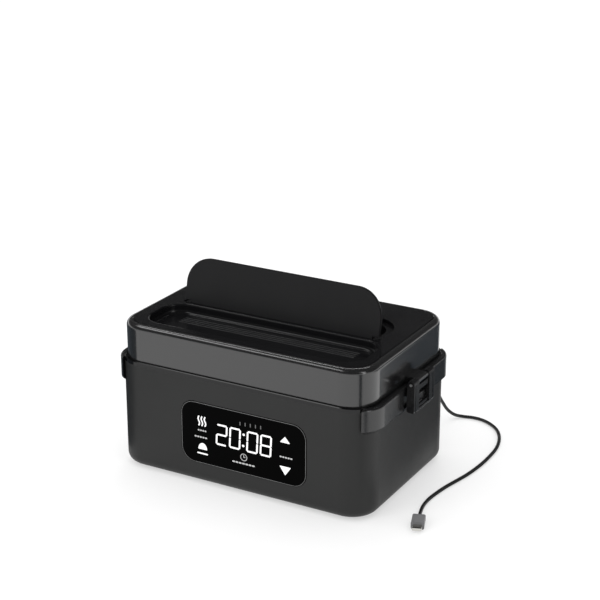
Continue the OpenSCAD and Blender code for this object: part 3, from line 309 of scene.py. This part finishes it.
def plates(name, outlines, body, material):
    """Thin plates on the window's face, one for each outline.

    outlines[k, i] is the point i of outline k, as (x, z), going round anticlockwise seen from
    the front. A plate's face is a fan from the mean of its outline; its side joins the front
    outline to the back one point by point, and its back is a fan too.
    """
    outlines = np.asarray(outlines, float)
    count, n, _ = outlines.shape
    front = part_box("display_window")[0][1] - sizes().proud
    back = front + MARK_DEPTH
    middles = outlines.mean(axis=1, keepdims=True)
    flat = np.concatenate([outlines, middles], axis=1)
    points = np.zeros((count, 2, n + 1, 3))
    points[..., 0] = flat[:, None, :, 0]
    points[..., 2] = flat[:, None, :, 1]
    points[:, 0, :, 1] = front
    points[:, 1, :, 1] = back
    i = np.arange(n)
    j = (i + 1) % n
    top = np.stack([i, j, np.full(n, n)], axis=1)
    under = np.stack([j, i, np.full(n, n)], axis=1) + n + 1
    side = np.stack([j, i, i + n + 1, j + n + 1], axis=1)
    shift = (np.arange(count) * 2 * (n + 1))[:, None, None]
    triangles = (np.concatenate([top, under])[None] + shift).reshape(-1, 3)
    quads = (side[None] + shift).reshape(-1, 4)
    piece = surface(name, points.reshape(-1, 3), [triangles, quads], material)
    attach(piece, body)
    return piece


def bars(starts, ends, width, n=24):
    """Outlines of round-ended bars: the point at angle t is half a width from the bar's end
    on that side, in the direction of t."""
    starts = np.asarray(starts, float)
    ends = np.asarray(ends, float)
    along = ends - starts
    heading = np.arctan2(along[:, 1], along[:, 0])
    t = (np.arange(n) + 0.5) * 2 * np.pi / n
    turn = heading[:, None] + t[None]
    near_end = (np.cos(t) > 0)[None, :, None]
    centre = np.where(near_end, ends[:, None], starts[:, None])
    return centre + width / 2 * np.stack([np.cos(turn), np.sin(turn)], axis=2)


def rounded_polygon(corners, radius, n=24):
    """Outline of a polygon with round corners: each corner's arc is about a centre moved in
    along the bisector, and all arcs have the same number of points."""
    corners = np.asarray(corners, float)
    m = len(corners)
    before = np.roll(corners, 1, axis=0) - corners
    after = np.roll(corners, -1, axis=0) - corners
    before /= np.linalg.norm(before, axis=1, keepdims=True)
    after /= np.linalg.norm(after, axis=1, keepdims=True)
    half = np.arccos(np.clip((before * after).sum(axis=1), -1, 1)) / 2
    bisector = before + after
    bisector /= np.linalg.norm(bisector, axis=1, keepdims=True)
    centres = corners + bisector * (radius / np.sin(half))[:, None]
    out = np.arctan2(-bisector[:, 1], -bisector[:, 0])
    sweep = np.linspace(-1, 1, n // m)[None] * (np.pi / 2 - half)[:, None]
    angle = out[:, None] + sweep
    ring = centres[:, None] + radius * np.stack([np.cos(angle), np.sin(angle)], axis=2)
    return ring.reshape(-1, 2)


def tube(name, path, radius, material, sides=20):
    """A round cable: ring i is a circle about path point i, square to the path there, and
    its two ends are closed by fans. The circle starts from the cross product of the path's
    heading and a steady, nearly upright direction that the path never runs along."""
    path = np.asarray(path, float)
    heading = np.gradient(path, axis=0)
    heading /= np.linalg.norm(heading, axis=1, keepdims=True)
    steady = np.array([0.05, 0.02, 1.0])
    across = np.cross(heading, steady)
    across /= np.linalg.norm(across, axis=1, keepdims=True)
    up = np.cross(across, heading)
    t = np.arange(sides) * 2 * np.pi / sides
    rings = path[:, None] + radius * (
        np.cos(t)[None, :, None] * across[:, None] + np.sin(t)[None, :, None] * up[:, None]
    )
    points = np.concatenate([rings.reshape(-1, 3), path[:1], path[-1:]])
    n = len(path)
    ring = np.arange(n - 1)[:, None] * sides
    k = np.arange(sides)[None]
    k2 = (k + 1) % sides
    quads = np.stack([ring + k, ring + k2, ring + sides + k2, ring + sides + k], axis=2)
    quads = quads.reshape(-1, 4)
    k, k2 = k[0], k2[0]
    first = np.stack([k2, k, np.full(sides, n * sides)], axis=1)
    base = (n - 1) * sides
    last = np.stack([base + k, base + k2, np.full(sides, n * sides + 1)], axis=1)
    return surface(name, points, [quads, first, last], material, smooth=True)


# ---------------------------------------------------------------- display

# All places on the window are (x, z) in metres.

# Which of the seven strokes each digit lights: top, upper right, lower right, bottom,
# lower left, upper left, middle
STROKES = {"0": "1111110", "2": "1101101", "8": "1111111"}
# Left edge of each digit, and the digit
DIGITS = ((-0.0183, "2"), (-0.0055, "0"), (0.0111, "0"), (0.0239, "8"))
DIGIT_FOOT = 0.0419
# How far a digit leans to the right for its height
DIGIT_LEAN = 0.055
# Share of a stroke's width by which each of its ends stays back from the corner
STROKE_BACK = 0.62
COLON = ((0.0082, 0.0560), (0.0076, 0.0458))
COLON_DOT = 0.0021
# A dot is a round-ended bar of almost no length
DOT_HALF_LENGTH = 0.0001

# Strengths of the marks' light
BRIGHT = 1.15
SOFT = 0.55
FAINT = 0.12

# The window's outline, as the CAD model has it, and a painted highlight on it: width and tone of
# a grey line along its bevel that stands in for the bevel's glint
WINDOW_CORNER = 0.01285
WINDOW_BEVEL = 0.0005
PAINTED_HIGHLIGHT_WIDTH = 0.0005
PAINTED_HIGHLIGHT_TONE = (0.14, 0.14, 0.14)

# Left edges, foot, height, swing and width of the three strips of warm air
WAVES = (-0.0352, -0.0322, -0.0292)
WAVE_FOOT = 0.0552
WAVE_HEIGHT = 0.0078
WAVE_SWING = 0.0007
WAVE_WIDTH = 0.0013

# Middle and radii of the dish cover, and the plate under it
DISH = (-0.0319, 0.0334)
DISH_RADII = (0.0043, 0.0058)
DISH_PLATE = ((-0.0368, 0.0296), (-0.0276, 0.0296))
DISH_PLATE_WIDTH = 0.0013

ARROW_UP = ((0.0423, 0.0575), (0.0519, 0.0575), (0.0471, 0.0630))
ARROW_DOWN = ((0.0472, 0.0286), (0.0526, 0.0364), (0.0418, 0.0364))
ARROW_CORNER = 0.0004

# Timer: middle and radius of its ring, tips of its hands, and width of its lines
TIMER = (0.0080, 0.0355)
TIMER_RADIUS = 0.0030
TIMER_HANDS = ((0.0080, 0.0374), (0.0094, 0.0355))
TIMER_LINE = 0.0006

# Rows of level bars as left edge, right edge, height and count, the space that a bar leaves
# free on its left and right, and its width
LEVEL_ROWS = (
    (-0.0362, -0.0274, 0.0506, 4),
    (-0.0395, -0.0268, 0.0444, 5),
    (-0.0030, 0.0190, 0.0297, 7),
    (0.0422, 0.0545, 0.0446, 5),
)
LEVEL_LEFT_SPACE = 0.0005
LEVEL_RIGHT_SPACE = 0.0013
LEVEL_WIDTH = 0.0014

# Faint marks over the digits: first and last one, their number, half height and width
FAINT_FIRST = (0.0048, 0.0652)
FAINT_LAST = (0.0244, 0.0660)
FAINT_COUNT = 5
FAINT_HALF_HEIGHT = 0.0012
FAINT_WIDTH = 0.0009


def digit_strokes():
    """Starts and ends of the lit strokes of all digits, leaning as the display's do."""
    s = sizes()
    w, h = s.digit_width, s.digit_height
    corner = np.array([[0, 0], [w, 0], [0, h / 2], [w, h / 2], [0, h], [w, h]])
    pairs = np.array([[4, 5], [5, 3], [3, 1], [1, 0], [0, 2], [2, 4], [2, 3]])
    starts, ends = [], []
    for left, digit in DIGITS:
        lit = np.array([mark == "1" for mark in STROKES[digit]])
        a, b = corner[pairs[lit, 0]], corner[pairs[lit, 1]]
        step = (b - a) / np.linalg.norm(b - a, axis=1, keepdims=True)
        back = s.stroke * STROKE_BACK
        starts.append(a + step * back + [left, DIGIT_FOOT])
        ends.append(b - step * back + [left, DIGIT_FOOT])
    starts, ends = np.concatenate(starts), np.concatenate(ends)
    for part in (starts, ends):
        part[:, 0] += (part[:, 1] - DIGIT_FOOT) * DIGIT_LEAN
    return starts, ends


class LUNCHBOX_OT_window_painted_highlight(bpy.types.Operator):
    """Make the painted highlight along the edge of the display's window: a grey line on its face
    that stands in for the glint of its bevel
    """

    bl_idname = "lunch_box.window_edge"
    bl_label = "Window Painted Highlight"

    def execute(self, context):
        (x0, _, z0), (x1, _, z1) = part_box("display_window")
        inset = WINDOW_BEVEL + PAINTED_HIGHLIGHT_WIDTH / 2
        x0, z0, x1, z1 = x0 + inset, z0 + inset, x1 - inset, z1 - inset
        corners = [[x0, z0], [x1, z0], [x1, z1], [x0, z1]]
        line = rounded_polygon(corners, WINDOW_CORNER - inset, n=48)
        # Painted highlight: a grey line laid along the bevel, in place of the bevel's glint
        painted_highlight = finish("Window edge painted highlight", PAINTED_HIGHLIGHT_TONE, (0.1, 0.14), depth=0)
        strokes = bars(line, np.roll(line, -1, axis=0), PAINTED_HIGHLIGHT_WIDTH, n=8)
        plates("display_window_painted_highlight", strokes, "base", painted_highlight)
        return {"FINISHED"}


class LUNCHBOX_OT_digits(bpy.types.Operator):
    """Make the display's digits and the dots between them"""

    bl_idname = "lunch_box.digits"
    bl_label = "Display Digits"

    def execute(self, context):
        starts, ends = digit_strokes()
        dots = np.array(COLON)
        half = [DOT_HALF_LENGTH, 0]
        bright = glow("Display glow", BRIGHT)
        plates("display_digits", bars(starts, ends, sizes().stroke), "base", bright)
        plates("display_colon", bars(dots - half, dots + half, COLON_DOT), "base", bright)
        return {"FINISHED"}


def wave_strips(material):
    """Warm air: three upright strips, each of short bars along one turn of a sine."""
    t = np.linspace(0, 1, 9)
    for number, left in enumerate(WAVES, 1):
        x = left + WAVE_SWING * np.sin(2 * np.pi * t)
        line = np.stack([x, WAVE_FOOT + WAVE_HEIGHT * t], axis=1)
        strokes = bars(line[:-1], line[1:], WAVE_WIDTH, n=12)
        plates(f"display_wave_{number}", strokes, "base", material)


def dish(material):
    """Dish cover: the upper half of an ellipse. Under it lies a bar, the plate."""
    t = np.linspace(0, np.pi, 23)
    x = DISH[0] + DISH_RADII[0] * np.cos(t)
    z = DISH[1] + DISH_RADII[1] * np.sin(t)
    plates("display_dish", [np.stack([x, z], axis=1)], "base", material)
    bar = bars(DISH_PLATE[:1], DISH_PLATE[1:], DISH_PLATE_WIDTH)
    plates("display_plate", bar, "base", material)


def arrows(material):
    """Arrows up and down: triangles with round corners."""
    outlines = [rounded_polygon(corners, ARROW_CORNER) for corners in (ARROW_UP, ARROW_DOWN)]
    plates("display_arrows", outlines, "base", material)


def timer(material):
    """Timer: a ring of short bars, and two hands from its middle."""
    turn = np.linspace(0, 2 * np.pi, 25)
    middle = np.array(TIMER)
    ring = middle + TIMER_RADIUS * np.stack([np.cos(turn), np.sin(turn)], axis=1)
    starts = np.concatenate([ring[:-1], [middle] * len(TIMER_HANDS)])
    ends = np.concatenate([ring[1:], TIMER_HANDS])
    plates("display_timer", bars(starts, ends, TIMER_LINE, n=12), "base", material)


def level_bars(material):
    """Rows of level bars: each row is shared out evenly among its bars."""
    starts, ends = [], []
    for left, right, z, count in LEVEL_ROWS:
        edges = np.linspace(left, right, count + 1)
        height = np.full(count, z)
        starts.append(np.stack([edges[:-1] + LEVEL_LEFT_SPACE, height], axis=1))
        ends.append(np.stack([edges[1:] - LEVEL_RIGHT_SPACE, height], axis=1))
    strokes = bars(np.concatenate(starts), np.concatenate(ends), LEVEL_WIDTH, n=16)
    plates("display_level_bars", strokes, "base", material)


def faint_marks(material):
    """Faint upright marks, evenly from the first place to the last."""
    x, z = np.linspace(FAINT_FIRST, FAINT_LAST, FAINT_COUNT).T
    low = np.stack([x, z - FAINT_HALF_HEIGHT], axis=1)
    high = np.stack([x, z + FAINT_HALF_HEIGHT], axis=1)
    plates("display_faint_marks", bars(low, high, FAINT_WIDTH, n=16), "base", material)


class LUNCHBOX_OT_icons(bpy.types.Operator):
    """Make the display's plain icons: warm air, dish, arrows, timer, level bars and marks"""

    bl_idname = "lunch_box.icons"
    bl_label = "Display Icons"

    def execute(self, context):
        bright = bpy.data.materials["Display glow"]
        soft = glow("Display soft glow", SOFT)
        faint = glow("Display faint glow", FAINT)
        wave_strips(bright)
        dish(bright)
        arrows(bright)
        timer(soft)
        level_bars(soft)
        faint_marks(faint)
        return {"FINISHED"}


# ---------------------------------------------------------------- cable

# Points of the cable in millimetres, from the plug in the base's back to the loose end. They
# are the points of the CAD lead.
ROUTE = np.array([
    [84, 113, 35.2], [84, 120, 35], [84.5, 127, 32.5], [86, 133, 26.5],
    [88, 138, 18], [91, 143, 9.5], [96, 148, 3.6], [103, 152, 1.7], [112, 154, 1.7],
    [122, 153, 1.7], [132, 148, 1.7], [141, 140, 1.7], [148, 129, 1.7], [153, 116, 1.7],
    [156, 102, 1.7], [157, 87, 1.7], [157, 72, 1.7], [156, 57, 1.7], [154, 42, 1.7],
    [151, 28, 1.7], [148, 14, 1.7], [146, 0, 1.7], [145, -13, 1.7], [146, -26, 1.7],
    [149, -38, 1.7], [153, -49, 1.7],
]) / 1000
STEPS_PER_SPAN = 6


def smooth_path(route, steps):
    """A curve through all the route's points: on each span it is the cubic whose slope at a
    point is half the step from the point before it to the one after it."""
    ends = np.concatenate([route[:1], route, route[-1:]])
    a, b, c, d = ends[:-3], ends[1:-2], ends[2:-1], ends[3:]
    t = (np.arange(steps) / steps)[None, :, None]
    a, b, c, d = (p[:, None] for p in (a, b, c, d))
    square = (2 * a - 5 * b + 4 * c - d) * t**2
    cube = (3 * b - a - 3 * c + d) * t**3
    curve = 0.5 * (2 * b + (c - a) * t + square + cube)
    return np.concatenate([curve.reshape(-1, 3), route[-1:]])


class LUNCHBOX_OT_cable(bpy.types.Operator):
    """Make the round cable that lies beside the base"""

    bl_idname = "lunch_box.cable"
    bl_label = "Cable"

    def execute(self, context):
        path = smooth_path(ROUTE, STEPS_PER_SPAN)
        piece = tube("usb_cable", path, sizes().cable / 2, bpy.data.materials["Cable black"])
        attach(piece, "base")
        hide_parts("usb_lead")
        return {"FINISHED"}


# ---------------------------------------------------------------- finishes

class LUNCHBOX_OT_finishes(bpy.types.Operator):
    """Give every CAD node its finish"""

    bl_idname = "lunch_box.finishes"
    bl_label = "Finishes"

    def execute(self, context):
        made = finishes()
        left = set(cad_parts)
        for name, nodes in NODE_FINISH.items():
            for node in nodes:
                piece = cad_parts[node]
                piece.data.materials.clear()
                piece.data.materials.append(made[name])
                left.discard(node)
        if left:
            raise RuntimeError(f"no finish for {sorted(left)}")
        return {"FINISHED"}


# ---------------------------------------------------------------- stage

# Camera, with its lens and sensor in millimetres
EYE = Vector((0.6302, -1.0947, 0.6103))
AIM = Vector((-0.10253, 0.21105, 0.060))
LENS = 96
SENSOR = 36
FARTHEST = 100

# Floor: half its side, its grey, and the strength of its light at two distances from the
# middle. The lamps reach the far floor less, and so that light grows.
FLOOR_REACH = 14.0
FLOOR_GREY = 0.45
FLOOR_LIGHT = (0.49, 0.64)
FLOOR_LIGHT_AT = (0.5, 3.0)

# World: the light that it gives, the tone that mirrors see overhead, and the rise of a ray
# at which the white band starts to fade and has faded
AMBIENT = 0.9
CEILING = 0.06
BAND_EDGE = (0.125, 0.185)

# Soft lamps: name, place, size, watts, and whether glossy surfaces show it
LAMPS = (
    ("Key", (-0.9, -2.1, 1.1), (1.5, 1.1), 17, False),
    ("Top", (0.1, 0.3, 2.1), (1.6, 1.2), 5, False),
    ("Fill", (2.0, -0.7, 1.0), (0.5, 1.6), 6, True),
    ("Back", (-0.5, 2.0, 1.3), (1.4, 1.0), 12, False),
    ("Strip", (-0.6, 0.6, 1.6), (1.8, 0.12), 4, True),
    ("Edge", (-0.73, -0.70, 1.37), (1.2, 0.3), 4, True),
)
LAMP_TARGET = (0, 0, 0.1)

# Dark cards that the steel and the gloss reflect: corners of each, as (x, y)
CARDS = {
    "card_right": (
        (0.14, -0.03), (0.40, 0.50), (1.00, 0.30), (3.00, 1.20), (3.00, 3.50), (0.45, 3.50),
        (0.14, 0.30),
    ),
    "card_left": ((-2.30, -1.91), (-0.14, -0.10), (-0.14, 0.10), (-2.30, 2.20)),
    "card_corner": ((0.15, -0.09), (1.60, -1.30), (1.60, -0.80)),
}
CARD_HEIGHT = 0.0006
CARD_TONE = (0.05, 0.06, 0.07)


def pointed(thing, place, target):
    """Puts a camera or lamp at place, looking at target with its top up."""
    thing.location = place
    heading = Vector(target) - Vector(place)
    thing.rotation_euler = heading.to_track_quat("-Z", "Y").to_euler()


def lamp(name, place, size, watts, mirrored):
    """A soft rectangular lamp, which glossy surfaces show if it is mirrored."""
    data = bpy.data.lights.new(name, "AREA")
    data.shape = "RECTANGLE"
    data.size, data.size_y = size
    data.energy = watts
    thing = bpy.data.objects.new(name, data)
    bpy.context.scene.collection.objects.link(thing)
    thing.visible_glossy = mirrored
    pointed(thing, place, LAMP_TARGET)


def seen_share(tree):
    """1 for the rays that the camera, a mirror or a glass sees, and 0 for all other rays."""
    path = tree.nodes.new("ShaderNodeLightPath")
    total = path.outputs["Is Camera Ray"]
    for name in ("Is Glossy Ray", "Is Transmission Ray"):
        both = tree.nodes.new("ShaderNodeMath")
        both.operation = "MAXIMUM"
        tree.links.new(total, both.inputs[0])
        tree.links.new(path.outputs[name], both.inputs[1])
        total = both.outputs[0]
    return total


def floor_material():
    """White floor that keeps its shadow: a grey diffuse floor, and a plain white light that
    only seen rays meet, whose strength depends on the distance from the middle."""
    material = bpy.data.materials.new("Floor")
    material.use_nodes = True
    tree = material.node_tree
    tree.nodes.clear()
    place = tree.nodes.new("ShaderNodeTexCoord")
    distance = tree.nodes.new("ShaderNodeVectorMath")
    distance.operation = "LENGTH"
    tree.links.new(place.outputs["Object"], distance.inputs[0])
    light = map_range(tree, distance.outputs["Value"], FLOOR_LIGHT_AT, FLOOR_LIGHT)
    strength = tree.nodes.new("ShaderNodeMath")
    strength.operation = "MULTIPLY"
    tree.links.new(seen_share(tree), strength.inputs[0])
    tree.links.new(light.outputs["Result"], strength.inputs[1])
    emission = tree.nodes.new("ShaderNodeEmission")
    tree.links.new(strength.outputs[0], emission.inputs["Strength"])
    diffuse = tree.nodes.new("ShaderNodeBsdfDiffuse")
    diffuse.inputs["Color"].default_value = (FLOOR_GREY, FLOOR_GREY, FLOOR_GREY, 1)
    both = tree.nodes.new("ShaderNodeAddShader")
    tree.links.new(diffuse.outputs[0], both.inputs[0])
    tree.links.new(emission.outputs[0], both.inputs[1])
    output = tree.nodes.new("ShaderNodeOutputMaterial")
    tree.links.new(both.outputs[0], output.inputs["Surface"])
    return material


def studio_world():
    """Surroundings: an even grey light, in which seen rays meet a white band round the
    horizon that falls off to a dark ceiling. The band's white is a smooth step of the
    height of the ray's direction."""
    world = bpy.data.worlds.new("Studio")
    world.use_nodes = True
    tree = world.node_tree
    place = tree.nodes.new("ShaderNodeTexCoord")
    parts = tree.nodes.new("ShaderNodeSeparateXYZ")
    tree.links.new(place.outputs["Generated"], parts.inputs[0])
    band = map_range(tree, parts.outputs["Z"], BAND_EDGE, (1.0, CEILING))
    band.interpolation_type = "SMOOTHSTEP"
    mix = tree.nodes.new("ShaderNodeMix")
    tree.links.new(seen_share(tree), mix.inputs["Factor"])
    mix.inputs["A"].default_value = AMBIENT
    tree.links.new(band.outputs["Result"], mix.inputs["B"])
    background = tree.nodes["Background"]
    background.inputs["Color"].default_value = (1, 1, 1, 1)
    tree.links.new(mix.outputs["Result"], background.inputs["Strength"])
    return world


def reflection_card(name, outline):
    """A flat dark card lying beside the box, which only reflections see."""
    corners = np.array([[x, y, CARD_HEIGHT] for x, y in outline])
    material = bpy.data.materials.new(name)
    material.use_nodes = True
    shader = material.node_tree.nodes["Principled BSDF"]
    socket(shader, "Base Color", (*CARD_TONE, 1.0))
    socket(shader, "Specular IOR Level", 0.0)
    card = surface(name, corners, [np.arange(len(outline))[None, :]], material)
    card.visible_camera = False
    card.visible_diffuse = False
    card.visible_shadow = False


class LUNCHBOX_OT_stage(bpy.types.Operator):
    """Make the white floor, the dark cards, the surroundings, the soft lamps and the camera"""

    bl_idname = "lunch_box.stage"
    bl_label = "Studio"

    def execute(self, context):
        scene = context.scene
        scene.view_settings.view_transform = "Standard"
        square = np.array([[-1, -1, 0], [1, -1, 0], [1, 1, 0], [-1, 1, 0]])
        face = [np.arange(4)[None, :]]
        floor = surface("floor", square * FLOOR_REACH, face, floor_material())
        for name, outline in CARDS.items():
            reflection_card(name, outline)
        scene.world = studio_world()
        for row in LAMPS:
            lamp(*row)

        camera = bpy.data.cameras.new("Camera")
        camera.sensor_width = SENSOR
        camera.lens = LENS
        camera.clip_end = FARTHEST
        eye = bpy.data.objects.new("Camera", camera)
        scene.collection.objects.link(eye)
        pointed(eye, EYE, AIM)
        scene.camera = eye
        return {"FINISHED"}


# ---------------------------------------------------------------- add-on

class LUNCHBOX_PT_panel(bpy.types.Panel):
    """Lists the lunch box's settings and pieces"""

    bl_idname = "LUNCHBOX_PT_panel"
    bl_label = "Lunch Box"
    bl_space_type = "VIEW_3D"
    bl_region_type = "UI"
    bl_category = "Lunch Box"

    def draw(self, context):
        for group in (colours(), sizes()):
            for name in group.__annotations__:
                self.layout.prop(group, name)
        for operator in OPERATORS:
            self.layout.operator(operator.bl_idname)


OPERATORS = (
    LUNCHBOX_OT_stage,
    LUNCHBOX_OT_finishes,
    LUNCHBOX_OT_cable,
    LUNCHBOX_OT_window_painted_highlight,
    LUNCHBOX_OT_digits,
    LUNCHBOX_OT_icons,
)
CLASSES = (LunchBoxColours, LunchBoxSizes, *OPERATORS, LUNCHBOX_PT_panel)


def register():
    """Registers the classes and hangs the settings on the scene."""
    for cls in CLASSES:
        bpy.utils.register_class(cls)
    bpy.types.Scene.lunch_box_colours = PointerProperty(type=LunchBoxColours)
    bpy.types.Scene.lunch_box_sizes = PointerProperty(type=LunchBoxSizes)


def unregister():
    """Takes back what register did."""
    del bpy.types.Scene.lunch_box_sizes
    del bpy.types.Scene.lunch_box_colours
    for cls in reversed(CLASSES):
        bpy.utils.unregister_class(cls)


def main():
    """Makes the whole scene."""
    register()
    bpy.ops.lunch_box.stage()
    bpy.ops.lunch_box.finishes()
    bpy.ops.lunch_box.cable()
    bpy.ops.lunch_box.window_edge()
    bpy.ops.lunch_box.digits()
    bpy.ops.lunch_box.icons()


if __name__ == "__main__":
    main()
